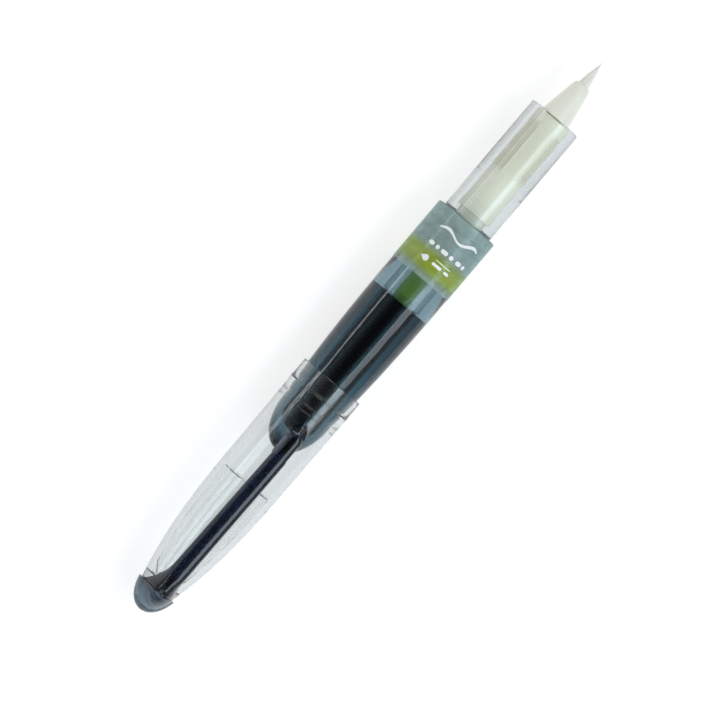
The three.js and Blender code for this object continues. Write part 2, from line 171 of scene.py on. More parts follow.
class BrushSizes(bpy.types.PropertyGroup):
    radius: size("Root radius", 1.14, "Radius of the brush where it leaves the holder")
    holder_bore: size("Holder bore", 1.35, "Bore of the holder's mouth")


class Colours(bpy.types.PropertyGroup):
    clear: colour("Clear plastic", (0.985, 0.99, 0.988), "Tint of the cap and grip section")
    smoke: colour("Smoky plastic", (0.08, 0.34, 0.42), "What the barrel's plastic lets through")
    smoke_density: bpy.props.FloatProperty(
        name="Smoke density", description="Absorption of the smoky plastic", default=900.0, min=0.0
    )
    crown: colour("Crown plastic", (0.14, 0.23, 0.29), "Tint of the crown's dome")
    clip: colour("Clip plastic", (0.006, 0.012, 0.030), "Tint of the clip")
    cream: colour("Collector", (0.93, 0.89, 0.73), "Cream plastic of the collector")
    # This lime is also painted onto the label film over the flange, as a painted glow of the flange seen
    # through it.
    lime: colour("Nipple", (0.80, 0.90, 0.10), "Yellow-green plastic of the nipple")
    holder: colour("Tip holder", (0.86, 0.84, 0.73), "Plastic of the tip holder")
    brush: colour("Brush", (0.88, 0.86, 0.78), "Fibre of the brush")
    ink: colour("Ink", (0.004, 0.006, 0.012), "Ink in the cartridge")
    print: colour("Print", (0.93, 0.94, 0.94), "White print on the label")


class PenSettings(bpy.types.PropertyGroup):
    barrel: bpy.props.PointerProperty(type=BarrelSizes)
    thread: bpy.props.PointerProperty(type=ThreadSizes)
    section: bpy.props.PointerProperty(type=SectionSizes)
    feed: bpy.props.PointerProperty(type=FeedSizes)
    cap: bpy.props.PointerProperty(type=CapSizes)
    crown: bpy.props.PointerProperty(type=CrownSizes)
    cartridge: bpy.props.PointerProperty(type=CartridgeSizes)
    brush: bpy.props.PointerProperty(type=BrushSizes)
    colours: bpy.props.PointerProperty(type=Colours)


def millimetres(group):
    """A group's lengths as plain millimetres, by name."""
    names = [p.identifier for p in group.bl_rna.properties if p.identifier not in ("rna_type", "name")]
    return {name: getattr(group, name) / MM for name in names}


# ---- Modelling ---------------------------------------------------------------------------------------


def deselect():
    """Leaves nothing selected, because an operator acts on all that is."""
    if bpy.context.mode != "OBJECT":
        bpy.ops.object.mode_set(mode="OBJECT")
    bpy.ops.object.select_all(action="DESELECT")


def finish_piece(obj, name, material, body=None, nodes=()):
    """Names a piece, gives it its material, and ties it to its CAD nodes and body."""
    obj.name = name
    obj.data.name = name
    if material is not None:
        obj.data.materials.clear()
        obj.data.materials.append(material)
    if nodes:
        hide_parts(*nodes)
    if body:
        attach(obj, body)
    deselect()
    return obj


def rounded(outline, steps=4):
    """An outline of (station, radius) or (station, radius, rounding), with its corners rounded."""
    points = []
    count = len(outline)
    for i, corner in enumerate(outline):
        here = Vector(corner[:2])
        rounding = corner[2] if len(corner) > 2 else 0.0
        if not rounding:
            points.append(here)
            continue
        before = Vector(outline[(i - 1) % count][:2])
        after = Vector(outline[(i + 1) % count][:2])
        start = here + (before - here).normalized() * min(rounding, (before - here).length * 0.49)
        end = here + (after - here).normalized() * min(rounding, (after - here).length * 0.49)
        for k in range(steps + 1):
            t = k / steps
            points.append(start * (1 - t) ** 2 + here * 2 * t * (1 - t) + end * t * t)
    return points


def turn(outline, segments=ROUND, sharp=40):
    """Spins an outline about the pen's axis. One that leaves the axis closes on itself."""
    points = rounded(outline)
    if points[0].y > 1e-6:
        points.append(points[0].copy())
    deselect()
    bpy.ops.mesh.primitive_plane_add(size=MM, location=(0, 0, 0))
    obj = bpy.context.object
    bpy.ops.object.mode_set(mode="EDIT")
    bpy.ops.mesh.select_mode(type="VERT")
    bpy.ops.mesh.merge(type="CENTER")
    at = Vector((0, 0, 0))
    for i, point in enumerate(points):
        place = Vector((MOUTH + point.x * MM, 0, AXIS + point.y * MM))
        if i == 0:
            bpy.ops.transform.translate(value=place - at)
        else:
            bpy.ops.mesh.extrude_vertices_move(TRANSFORM_OT_translate={"value": place - at})
        at = place
    bpy.ops.mesh.select_all(action="SELECT")
    bpy.ops.mesh.spin(steps=segments, angle=2 * math.pi, center=(0, 0, AXIS), axis=(1, 0, 0))
    bpy.ops.mesh.select_all(action="SELECT")
    bpy.ops.mesh.remove_doubles(threshold=0.0005 * MM)
    bpy.ops.mesh.normals_make_consistent(inside=False)
    bpy.ops.object.mode_set(mode="OBJECT")
    bpy.ops.object.shade_smooth_by_angle(angle=math.radians(sharp))
    return obj


def nose(distance, length, full):
    """Radius of a rounded nose at a distance from its point."""
    left = 1 - min(distance / length, 1)
    return full * math.sqrt(1 - left * left)


def nose_steps(length, count):
    """Distances from a nose's point, closer together where it curves most."""
    return [length * (1 - math.cos(math.pi / 2 * i / count)) for i in range(count + 1)]


def spaced(start, end, count):
    return [start + (end - start) * i / count for i in range(count + 1)]


def smooth(t):
    t = min(max(t, 0.0), 1.0)
    return t * t * (3 - 2 * t)


def wind_thread(obj, root, thread, ridge, flank):
    """Draws a turned piece in to a right-handed thread where it lies at the root radius.

    The thread is ridge wide at its crest, with flanks of the given width, and fades at both ends.
    """
    rear, front = -thread["rear"], -thread["front"]
    for vertex in obj.data.vertices:
        x = (vertex.co.x - MOUTH) / MM
        y, z = vertex.co.y, vertex.co.z - AXIS
        here = math.hypot(y, z) / MM
        if not rear < x < front or not root - thread["depth"] < here < root + 0.01:
            continue
        turns = x / thread["pitch"] - math.atan2(z, y) / (2 * math.pi) - 0.5
        away = abs(turns - round(turns)) * thread["pitch"]
        height = smooth((ridge / 2 + flank - away) / flank)
        fade = smooth(min(x - rear, front - x) / (thread["pitch"] * 0.35))
        scale = min(1, (root - thread["depth"] * height * fade) / here)
        vertex.co.y = y * scale
        vertex.co.z = AXIS + z * scale
    obj.data.update()


# ---- Materials ---------------------------------------------------------------------------------------


def new_material(name):
    material = bpy.data.materials.new(name)
    material.use_nodes = True
    nodes = material.node_tree.nodes
    return material, nodes, material.node_tree.links, nodes["Principled BSDF"], nodes["Material Output"]


def noise(nodes, links, scale, stretch=(1, 1, 1), detail=4.0, rough=0.55):
    """Noise on the piece's own coordinates. Scale is in features per metre."""
    place = nodes.new("ShaderNodeTexCoord")
    mapping = nodes.new("ShaderNodeMapping")
    mapping.inputs["Scale"].default_value = stretch
    texture = nodes.new("ShaderNodeTexNoise")
    texture.inputs["Scale"].default_value = scale
    texture.inputs["Detail"].default_value = detail
    texture.inputs["Roughness"].default_value = rough
    links.new(place.outputs["Object"], mapping.inputs["Vector"])
    links.new(mapping.outputs["Vector"], texture.inputs["Vector"])
    return texture.outputs["Fac"]


def ranged(nodes, links, value, low, high, start=0.3, end=0.7):
    """A value mapped from start..end to low..high."""
    node = nodes.new("ShaderNodeMapRange")
    node.inputs["From Min"].default_value = start
    node.inputs["From Max"].default_value = end
    node.inputs["To Min"].default_value = low
    node.inputs["To Max"].default_value = high
    links.new(value, node.inputs["Value"])
    return node.outputs["Result"]


def bump(nodes, links, value, strength, distance):
    node = nodes.new("ShaderNodeBump")
    node.inputs["Strength"].default_value = strength
    node.inputs["Distance"].default_value = distance
    links.new(value, node.inputs["Height"])
    return node.outputs["Normal"]


def varied_colour(nodes, links, value, dark, light):
    node = nodes.new("ShaderNodeMix")
    node.data_type = "RGBA"
    node.inputs["A"].default_value = (*dark, 1)
    node.inputs["B"].default_value = (*light, 1)
    links.new(value, node.inputs["Factor"])
    return node.outputs["Result"]


def moulded_clear(name, tint, glow, rough=(0.015, 0.05), density=0.0, deep=(1, 1, 1)):
    """See-through moulded plastic, which lets lamps through to what it holds.

    Faint flow ripples and hairline scuffs come from noise; density and deep tint it by its depth.
    """
    material, nodes, links, plastic, output = new_material(name)
    plastic.inputs["Base Color"].default_value = (*tint, 1)
    plastic.inputs["Transmission Weight"].default_value = 1.0
    plastic.inputs["IOR"].default_value = 1.49
    scuffs = noise(nodes, links, 900.0, (1, 6, 6), detail=6.0, rough=0.7)
    links.new(ranged(nodes, links, scuffs, *rough, 0.45, 0.8), plastic.inputs["Roughness"])
    ripples = noise(nodes, links, 160.0, (0.06, 1, 1), detail=2.0)
    links.new(bump(nodes, links, ripples, 0.05, 0.00005), plastic.inputs["Normal"])
    through = nodes.new("ShaderNodeBsdfTransparent")
    through.inputs["Color"].default_value = (*glow, 1)
    path = nodes.new("ShaderNodeLightPath")
    mix = nodes.new("ShaderNodeMixShader")
    links.new(path.outputs["Is Shadow Ray"], mix.inputs["Fac"])
    links.new(plastic.outputs["BSDF"], mix.inputs[1])
    links.new(through.outputs["BSDF"], mix.inputs[2])
    links.new(mix.outputs["Shader"], output.inputs["Surface"])
    if density:
        volume = nodes.new("ShaderNodeVolumeAbsorption")
        volume.inputs["Color"].default_value = (*deep, 1)
        volume.inputs["Density"].default_value = density
        links.new(volume.outputs["Volume"], output.inputs["Volume"])
    return material


def colourless(name, colours, density, deep=(0.30, 0.37, 0.38)):
    """The clear plastic of the cap, its liner and the grip section, greyer the denser it is."""
    return moulded_clear(name, colours.clear, (0.97, 0.98, 0.98), density=density, deep=deep)


def crown_plastic(colours):
    """The crown's smoky plastic, which deepens along the pen into the clip's."""
    material = moulded_clear("crown_moulding", colours.crown, (0.2, 0.25, 0.3), rough=(0.03, 0.09))
    nodes, links = material.node_tree.nodes, material.node_tree.links
    place = nodes.new("ShaderNodeTexCoord")
    parts = nodes.new("ShaderNodeSeparateXYZ")
    links.new(place.outputs["Object"], parts.inputs["Vector"])
    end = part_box("cap_crown")[0][0]
    deeper = ranged(nodes, links, parts.outputs["X"], 0.0, 1.0, end + 0.5 * MM, end + 5.5 * MM)
    tint = varied_colour(nodes, links, deeper, tuple(colours.crown), tuple(colours.clip))
    links.new(tint, nodes["Principled BSDF"].inputs["Base Color"])
    return material


def moulded_solid(name, base, rough, speck=0.06, subsurface=0.0, grain=1500.0):
    """Opaque moulded plastic with a faint mottle, a fine skin texture and uneven gloss."""
    material, nodes, links, plastic, _ = new_material(name)
    mottle = noise(nodes, links, 420.0, (0.6, 1, 1), detail=5.0)
    dark = tuple(c * (1 - speck) for c in base)
    light = tuple(min(c * (1 + speck), 1) for c in base)
    links.new(varied_colour(nodes, links, mottle, dark, light), plastic.inputs["Base Color"])
    skin = noise(nodes, links, grain, detail=6.0, rough=0.65)
    links.new(ranged(nodes, links, skin, rough * 0.8, rough * 1.25), plastic.inputs["Roughness"])
    links.new(bump(nodes, links, skin, 0.12, 0.00004), plastic.inputs["Normal"])
    plastic.inputs["Subsurface Weight"].default_value = subsurface
    plastic.inputs["Subsurface Radius"].default_value = (1.0, 0.9, 0.7)
    plastic.inputs["Subsurface Scale"].default_value = 0.0006
    return material


def bound_fibre(name, base):
    """Fibres bound side by side along the pen: fine streaks in colour and height."""
    material, nodes, links, fibre, _ = new_material(name)
    strands = noise(nodes, links, 5200.0, (0.025, 1, 1), detail=3.0, rough=0.6)
    dark = tuple(c * 0.78 for c in base)
    light = tuple(min(c * 1.12, 1) for c in base)
    spread = ranged(nodes, links, strands, 0.0, 1.0, 0.35, 0.65)
    links.new(varied_colour(nodes, links, spread, dark, light), fibre.inputs["Base Color"])
    links.new(ranged(nodes, links, strands, 0.42, 0.62), fibre.inputs["Roughness"])
    links.new(bump(nodes, links, strands, 0.5, 0.00006), fibre.inputs["Normal"])
    fibre.inputs["Subsurface Weight"].default_value = 0.15
    fibre.inputs["Subsurface Radius"].default_value = (1.0, 0.95, 0.8)
    fibre.inputs["Subsurface Scale"].default_value = 0.0004
    return material


def wet_ink(name, base):
    """Ink seen through its cartridge: near black, glossy, a little thinner in places."""
    material, nodes, links, ink, _ = new_material(name)
    swirl = noise(nodes, links, 300.0, (0.4, 1, 1), detail=3.0)
    lighter = tuple(c * 2.2 for c in base)
    links.new(varied_colour(nodes, links, swirl, base, lighter), ink.inputs["Base Color"])
    links.new(ranged(nodes, links, swirl, 0.1, 0.25), ink.inputs["Roughness"])
    return material


def polished_steel(name):
    material, nodes, links, steel, _ = new_material(name)
    steel.inputs["Metallic"].default_value = 1.0
    marks = noise(nodes, links, 2500.0, detail=5.0)
    links.new(varied_colour(nodes, links, marks, (0.55, 0.56, 0.58), (0.68, 0.69, 0.7)),
              steel.inputs["Base Color"])
    links.new(ranged(nodes, links, marks, 0.12, 0.28), steel.inputs["Roughness"])
    return material


def label_film(name, lime, rear, front):
    """A thin clear film: mostly see-through, with a faint haze, and painted lime from one station to another,
    a painted glow of the lime nipple flange that lies behind it.
    """
    material, nodes, links, skin, output = new_material(name)
    place = nodes.new("ShaderNodeTexCoord")
    parts = nodes.new("ShaderNodeSeparateXYZ")
    links.new(place.outputs["Object"], parts.inputs["Vector"])
    middle = nodes.new("ShaderNodeMath")
    middle.operation = "SUBTRACT"
    middle.inputs[1].default_value = MOUTH + (rear + front) / 2 * MM
    links.new(parts.outputs["X"], middle.inputs[0])
    aside = nodes.new("ShaderNodeMath")
    aside.operation = "ABSOLUTE"
    links.new(middle.outputs["Value"], aside.inputs[0])
    half = (front - rear) / 2
    # Painted glow: the film's colour turns lime only over the nipple's flange, standing in for the flange's
    # light showing through the film.
    flange_glow_band = ranged(nodes, links, aside.outputs["Value"], 1.0, 0.0, (half - 1.2) * MM, (half + 0.3) * MM)
    tint = varied_colour(nodes, links, flange_glow_band, (0.72, 0.84, 0.78), tuple(lime))
    links.new(tint, skin.inputs["Base Color"])
    haze = noise(nodes, links, 700.0, detail=4.0)
    links.new(ranged(nodes, links, haze, 0.12, 0.25), skin.inputs["Roughness"])
    through = nodes.new("ShaderNodeBsdfTransparent")
    through.inputs["Color"].default_value = (0.80, 0.88, 0.88, 1)
    mix = nodes.new("ShaderNodeMixShader")
    links.new(ranged(nodes, links, haze, 0.18, 0.28), mix.inputs["Fac"])
    links.new(through.outputs["BSDF"], mix.inputs[1])
    links.new(skin.outputs["BSDF"], mix.inputs[2])
    links.new(mix.outputs["Shader"], output.inputs["Surface"])
    return material


def screen_print(name, base):
    """White screen print: slightly uneven cover with tiny pinholes."""
    material, nodes, links, paint, _ = new_material(name)
    cover = noise(nodes, links, 2600.0, detail=4.0)
    dark = tuple(c * 0.9 for c in base)
    links.new(varied_colour(nodes, links, cover, dark, base), paint.inputs["Base Color"])
    links.new(ranged(nodes, links, cover, 0.35, 0.5), paint.inputs["Roughness"])
    links.new(bump(nodes, links, cover, 0.1, 0.00001), paint.inputs["Normal"])
    return material


# ---- Outlines ----------------------------------------------------------------------------------------


CAVITY_NOSE = 6             # length of the rounded end of the barrel's cavity


def barrel_radius(x, barrel):
    """Outer radius of the barrel at a station."""
    tail = reach("barrel")[0]
    if x - tail < barrel["tail_nose"]:
        return nose(x - tail, barrel["tail_nose"], barrel["tail_radius"])
    run = -tail - barrel["tail_nose"] - barrel["straight"]
    left = max(-barrel["straight"] - x, 0) / run
    return radius("barrel") - (radius("barrel") - barrel["tail_radius"]) * left**2.4


def cap_radius(distance, cap, crown):
    """Outer radius of the cap at a distance from the end of the crown."""
    length = reach("cap_shell")[1] - reach("cap_crown")[0]
    if distance >= cap["belly_at"]:
        return cap["belly"] + cap["flare"] * (distance - cap["belly_at"]) / (length - cap["belly_at"])
    left = (cap["belly_at"] - distance) / (cap["belly_at"] - crown["skirt"])
    return cap["belly"] - (cap["belly"] - cap["end_radius"]) * left**2.8


def barrel_outline(barrel, thread):
    tail, _ = reach("barrel")
    full = radius("barrel")
    cavity_end = tail + barrel["tail_wall"]
    step = reach("grip_section")[0] - BODY_GAP
    outline = [(tail + d, nose(d, barrel["tail_nose"], barrel["tail_radius"]))
               for d in nose_steps(barrel["tail_nose"], 22)]
    taper = spaced(tail + barrel["tail_nose"], -barrel["straight"], 16)
    outline += [(x, barrel_radius(x, barrel)) for x in taper[1:]]
    outline += [(0, full, 0.16), (0, barrel["mouth_bore"], 0.1)]
    rows = round((thread["rear"] - thread["front"]) / THREAD_ROW)
    outline += [(x, barrel["mouth_bore"]) for x in spaced(-thread["front"], -thread["rear"], rows)]
    outline += [(-thread["rear"] - 0.4, barrel["step_bore"]), (step, barrel["step_bore"], 0.12)]
    outline += [(step, barrel["cavity"], 0.1)]
    outline += [(cavity_end + d, nose(d, CAVITY_NOSE, barrel["cavity"]))
                for d in reversed(nose_steps(CAVITY_NOSE, 14))]
    return outline


def grip_outline(section, thread, barrel, feed):
    rear, front = reach("grip_section")
    ring = section["ring"]
    grip = section["grip_radius"]
    root = thread["crest"] - thread["depth"] - 0.02
    flange_rear = reach("feed_nipple")[1] - feed["nipple_flange"] - BODY_GAP
    outline = [
        (rear, section["socket_bore"], 0.1),
        (rear, section["socket_radius"], 0.15),
        (-section["shoulder"], section["socket_radius"], 0.2),
        (-section["shoulder"], root, 0.15),
        (-thread["rear"], root),
    ]
    rows = round((thread["rear"] - thread["front"]) / THREAD_ROW)
    outline += [(x, thread["crest"]) for x in spaced(-thread["rear"], -thread["front"], rows)]
    outline += [
        (-1.6, barrel["mouth_bore"] - 0.12, 0.08),
        (-0.02, barrel["mouth_bore"] - 0.12, 0.08),
        (0.12, grip, 0.05),
        (ring - 0.55, grip),
        (ring - 0.2, grip + 0.085, 0.1),
        (ring + 0.2, grip + 0.085, 0.1),
        (ring + 0.55, grip),
        (front, grip, 0.2),
        (front, section["bore"], 0.15),
        (flange_rear, section["bore"], 0.2),
        (flange_rear, section["socket_bore"], 0.1),
    ]
    return outline


# Places along the cap, from the end of the crown.
CAP_SEAT = 6.55             # where its small end closes round the crown's plug
CAP_TAPER = (8.6, 27.5)     # the stretch over which its inside narrows towards that end
CAP_GROOVE = 27.9           # a fine line round its outside
CAP_BEAD = 46.7             # the snap bead inside it
CAP_RING = 49.2             # the raised ring outside its mouth, with a second bead inside
LINER_RIM = 29.9            # the open end of the inner cap


def cap_outline(cap, crown, barrel):
    """The cap's shell, from its small end round the mouth and back along the bore."""
    end = reach("cap_crown")[0]
    length = reach("cap_shell")[1] - end
    first = crown["skirt"] + 0.05
    bead, second, groove = CAP_BEAD, CAP_RING, CAP_GROOVE

    def outside(d):
        return cap_radius(d, cap, crown)

    def inside(d):
        return min(outside(d) - cap["wall"], cap["bore"])

    def clear_of_tail(d, gap):
        return max(barrel_radius(end + d, barrel) + gap, 0)

    outline = [(d, outside(d)) for d in spaced(first, groove - 0.3, 26)]
    outline += [(groove - 0.15, outside(groove)), (groove, outside(groove) - 0.07, 0.05)]
    outline += [(groove + 0.15, outside(groove))]
    outline += [(d, outside(d)) for d in spaced(groove + 0.4, second - 0.2, 14)]
    outline += [(second + 0.3, outside(second) + 0.085, 0.2), (second + 0.9, outside(second) + 0.085, 0.2)]
    outline += [(second + 1.4, outside(second + 1.4)), (length - 1.6, outside(length - 1.6))]
    outline += [(length - 1.2, outside(length) - 0.035, 0.1), (length, outside(length), 0.18)]
    outline += [
        (length, clear_of_tail(length, 0.14), 0.12),
        (second + 0.9, clear_of_tail(second + 0.9, 0.25), 0.2),
        (second + 0.35, clear_of_tail(second + 0.3, 0.08), 0.12),
        (second - 0.35, clear_of_tail(second + 0.3, 0.08), 0.12),
        (second - 0.9, max(cap["bore"], clear_of_tail(second - 0.5, 0.1)), 0.2),
        (bead + 0.8, cap["bore"] + 0.02, 0.2),
        (bead + 0.3, cap["bore"] - 0.13, 0.12),
        (bead - 0.3, cap["bore"] - 0.13, 0.12),
        (bead - 0.8, cap["bore"], 0.2),
    ]
    narrow, wide = CAP_TAPER
    outline += [(d, inside(d)) for d in spaced(wide, narrow, 20)]
    outline += [
        (CAP_SEAT, inside(narrow) - 0.45, 0.3),
        (CAP_SEAT, crown["spigot"] + 0.06, 0.08),
        (first, crown["spigot"] + 0.06, 0.08),
    ]
    return [(end + p[0], *p[1:]) for p in outline]


def liner_outline(cap, crown):
    """The inner cap: a closed floor, tapers, a straight bore and a small chamfered lip."""
    end = reach("cap_crown")[0]
    full = cap["liner_bore"]
    rim = LINER_RIM

    def skin(d):
        return min(cap_radius(d, cap, crown) - cap["wall"], cap["bore"]) - 0.16

    outline = [(6.75, 0), (6.75, 1.9, 0.5)]
    outline += [(d, skin(d)) for d in spaced(8.8, rim - 1.2, 16)]
    outline += [
        (rim - 0.9, skin(rim), 0.1),
        (rim, skin(rim) - 0.15, 0.12),
        (rim, full + 0.3, 0.1),
        (rim - 0.45, full, 0.15),
        (18.0, full, 1.4),
        (15.2, full * 0.907, 0.9),
        (12.6, full * 0.728, 0.9),
        (9.0, full * 0.536, 0.9),
        (7.5, full * 0.33, 0.5),
        (7.3, 0),
    ]
    return [(end + p[0], *p[1:]) for p in outline]


def comb_outline(feed):
    """The collector without its spine: shank, collar, smooth barrel, comb of fins and front flange."""
    rear, front = reach("collector")
    fins_end = front - feed["flange"]
    bore = feed["wick"] + 0.1
    smooth_part = feed["radius"] - 0.14
    collar = 1.7
    outline = [
        (rear, bore, 0.05),
        (rear, 2.9, 0.2),
        (collar, 2.9, 0.15),
        (collar, feed["radius"], 0.1),
        (collar + 2.0, feed["radius"], 0.1),
        (collar + 2.0, smooth_part, 0.1),
        (fins_end - feed["finned"], smooth_part, 0.05),
    ]
    count = int(feed["finned"] / feed["fin_pitch"])
    for i in range(count):
        x = fins_end - feed["finned"] + i * feed["fin_pitch"]
        slot_end = x + feed["fin_pitch"] - feed["fin"]
        outline += [(x, feed["core"]), (slot_end, feed["core"])]
        outline += [(slot_end, feed["radius"], 0.03), (x + feed["fin_pitch"], feed["radius"], 0.03)]
    outline += [
        (front, feed["radius"], 0.25),
        (front, 2.12, 0.1),
        (front - 3.6, 2.12, 0.1),
        (front - 3.6, bore, 0.05),
    ]
    return outline


# ---- Operators ---------------------------------------------------------------------------------------


class PEN_OT_barrel(bpy.types.Operator):
    """Turn the smoky barrel and cut the thread inside its mouth"""

    bl_idname = "brush_pen.barrel"
    bl_label = "Barrel"

    def execute(self, context):
        pen = context.scene.brush_pen
        barrel, thread = millimetres(pen.barrel), millimetres(pen.thread)
        obj = turn(barrel_outline(barrel, thread))
        wind_thread(obj, barrel["mouth_bore"], thread, ridge=0.22, flank=0.16)
        smoky = moulded_clear("smoky_moulding", (0.97, 0.98, 0.985), (0.6, 0.7, 0.76),
                              density=pen.colours.smoke_density, deep=pen.colours.smoke)
        finish_piece(obj, "barrel_shell", smoky, "barrel", ["barrel"])
        return {"FINISHED"}


class PEN_OT_grip(bpy.types.Operator):
    """Turn the clear grip section with its thread, shoulder, rear socket and snap ring"""

    bl_idname = "brush_pen.grip"
    bl_label = "Grip section"

    def execute(self, context):
        pen = context.scene.brush_pen
        groups = (pen.section, pen.thread, pen.barrel, pen.feed)
        section, thread, barrel, feed = (millimetres(g) for g in groups)
        obj = turn(grip_outline(section, thread, barrel, feed))
        past_fade = 0.4 * thread["pitch"]     # the groove runs out through the thread's rear end
        through = dict(thread, rear=thread["rear"] + past_fade)
        wind_thread(obj, thread["crest"], through, ridge=0.7, flank=0.22)
        clear = colourless("clear_moulding", pen.colours, 150.0)
        finish_piece(obj, "grip_tube", clear, "section", ["grip_section"])
        return {"FINISHED"}


class PEN_OT_cap(bpy.types.Operator):
    """Turn the cap's clear shell and the liner inside it"""

    bl_idname = "brush_pen.cap"
    bl_label = "Cap and liner"

    def execute(self, context):
        pen = context.scene.brush_pen
        cap, crown, barrel = (millimetres(g) for g in (pen.cap, pen.crown, pen.barrel))
        shell = turn(cap_outline(cap, crown, barrel))
        clear = colourless("cap_moulding", pen.colours, 200.0, deep=(0.3, 0.36, 0.37))
        finish_piece(shell, "cap_tube", clear, "cap", ["cap_shell"])
        liner = turn(liner_outline(cap, crown), SMALL_ROUND)
        thin = colourless("liner_moulding", pen.colours, 20.0)
        finish_piece(liner, "cap_liner", thin, "cap", ["inner_cap"])
        return {"FINISHED"}


class PEN_OT_crown(bpy.types.Operator):
    """Model the crown and its clip as the one moulding that they are"""

    bl_idname = "brush_pen.crown"
    bl_label = "Crown and clip"

    def execute(self, context):
        pen = context.scene.brush_pen
        crown, cap = millimetres(pen.crown), millimetres(pen.cap)
        end = reach("cap_crown")[0]
        rim = crown["skirt"]
        outline = [(d, nose(d, crown["dome"], crown["radius"])) for d in nose_steps(rim - 0.2, 20)]
        outline += [
            (rim, nose(rim, crown["dome"], crown["radius"]), 0.1),
            (rim, crown["spigot"] + 0.1, 0.1),
            (crown["spigot_end"], crown["spigot"], 0.12),
            (crown["spigot_end"], 0),
        ]
        obj = turn([(end + p[0], *p[1:]) for p in outline], SMALL_ROUND)
        join_solid(obj, draw_clip(crown, cap), 50)
        tinted = crown_plastic(pen.colours)
        finish_piece(obj, "crown_and_clip", tinted, None, ["cap_crown", "clip_arm"])
        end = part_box("cap_crown")[0][0]
        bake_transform(obj)
        return {"FINISHED"}


ARM_START = 9               # distance from the crown's end at which the arm runs straight
ARM_HEIGHT = 6.352          # height of its middle there, above the pen's axis
ARM_SLOPE = 0.0633          # how fast it rises from there


def arm_middle(distance):
    """Height of the middle of the clip's arm above the pen's axis."""
    return ARM_HEIGHT + ARM_SLOPE * (distance - ARM_START)


def curve_through(points, at):
    """A smooth curve through (distance, value) points."""
    if at <= points[0][0]:
        return points[0][1]
    if at >= points[-1][0]:
        return points[-1][1]
    i = max(k for k in range(len(points) - 1) if points[k][0] <= at)
    (x0, y0), (x1, y1) = points[i], points[i + 1]

    def slope(k):
        low, high = max(k - 1, 0), min(k + 1, len(points) - 1)
        return (points[high][1] - points[low][1]) / (points[high][0] - points[low][0])

    span = x1 - x0
    t = (at - x0) / span
    return (
        y0 * (2 * t**3 - 3 * t**2 + 1) + slope(i) * span * (t**3 - 2 * t**2 + t)
        + y1 * (3 * t**2 - 2 * t**3) + slope(i + 1) * span * (t**3 - t**2)
    )


# The clip's shape along the cap: (distance from the crown's end, value), in millimetres.
HALF_WIDTHS = ((0.9, 1.5), (2.2, 2.6), (3.6, 3.3), (4.7, 3.5), (5.3, 3.2), (6.3, 2.7), (7.2, 2.34),
               (8.1, 2.1), (9.2, 1.9), (11.5, 1.8), (41.0, 1.62), (42.4, 1.36), (43.7, 0.78), (44.6, 0.12))
RISING_TOPS = ((0.9, 2.0), (1.7, 3.3), (2.5, 4.45), (3.3, 5.4), (4.2, 6.12), (5.2, 6.56), (6.5, 6.83))
BLUNTNESS = ((4.0, 2.0), (6.5, 2.6), (8.0, 4.0), (10.0, 9.0), (40.7, 9.0), (42.0, 1.6), (44.7, 1.1))
PAD = (37.1, 40.7)


def clip_height(distance, crown):
    """Top of the clip, which rises out of the dome and falls to the point."""
    flat = arm_middle(distance) + crown["clip_thickness"] / 2
    rising = curve_through(RISING_TOPS, distance)
    start = smooth((distance - 4.5) / 3.5)
    fall = 0.62 * smooth((distance - 41.0) / 5.5)
    return rising * (1 - start) + flat * start - fall


def clip_underside(distance, y, crown, cap):
    """Underside of the clip: buried in the dome, then clear of the shell, then the arm and its pad."""
    if distance < crown["skirt"] + 0.01:
        full = nose(distance, crown["dome"], crown["radius"])
        return math.sqrt(max(full**2 - y**2, 0.04)) - 0.55
    shell = math.sqrt(max(cap_radius(distance, cap, crown)**2 - y**2, 0)) + 0.07
    arm = arm_middle(distance) - crown["clip_thickness"] / 2
    if PAD[0] <= distance <= PAD[1]:
        return cap_radius(39, cap, crown) + 0.05
    lift = smooth((distance - 6.2) / 4.8)
    tip = 0.3 * smooth((distance - 41.2) / 3.4)
    return shell * (1 - lift) + arm * lift + tip


def clip_ring(distance, crown, cap):
    """The clip's outline at a distance from the crown's end: (y, z) across the top and back below."""
    half = curve_through(HALF_WIDTHS, distance)
    top = clip_height(distance, crown)
    blunt = curve_through(BLUNTNESS, distance)
    crowned = crown["clip_crown"] * smooth((distance - 6) / 4) * (1 - smooth((distance - 41) / 1.5))
    points = []
    for i in range(15):
        u = math.sin(math.pi / 2 * (i / 7 - 1))
        edge = clip_underside(distance, half, crown, cap) + 0.14
        points.append((half * u, edge + (top - crowned * u * u - edge) * (1 - abs(u)**blunt)))
    for i in range(1, 10):
        u = 1 - i / 5
        points.append((half * u, clip_underside(distance, half * u, crown, cap)))
    return points


def place_ring(obj, distance, ring):
    """Places the selected ring of vertices, in their order round the clip."""
    end = reach("cap_crown")[0]
    mesh = bmesh.from_edit_mesh(obj.data)
    chosen = [v for v in mesh.verts if v.select]
    first = min(chosen, key=lambda v: v.index)
    order = [first]
    while len(order) < len(chosen):
        ahead = [e.other_vert(order[-1]) for e in order[-1].link_edges if e.other_vert(order[-1]).select]
        fresh = [v for v in ahead if v not in order]
        order.append(max(fresh, key=lambda v: v.index) if len(order) == 1 else fresh[0])
    for vertex, (y, z) in zip(order, ring):
        vertex.co = Vector((MOUTH + (end + distance) * MM, y * MM, AXIS + z * MM))
    bmesh.update_edit_mesh(obj.data)


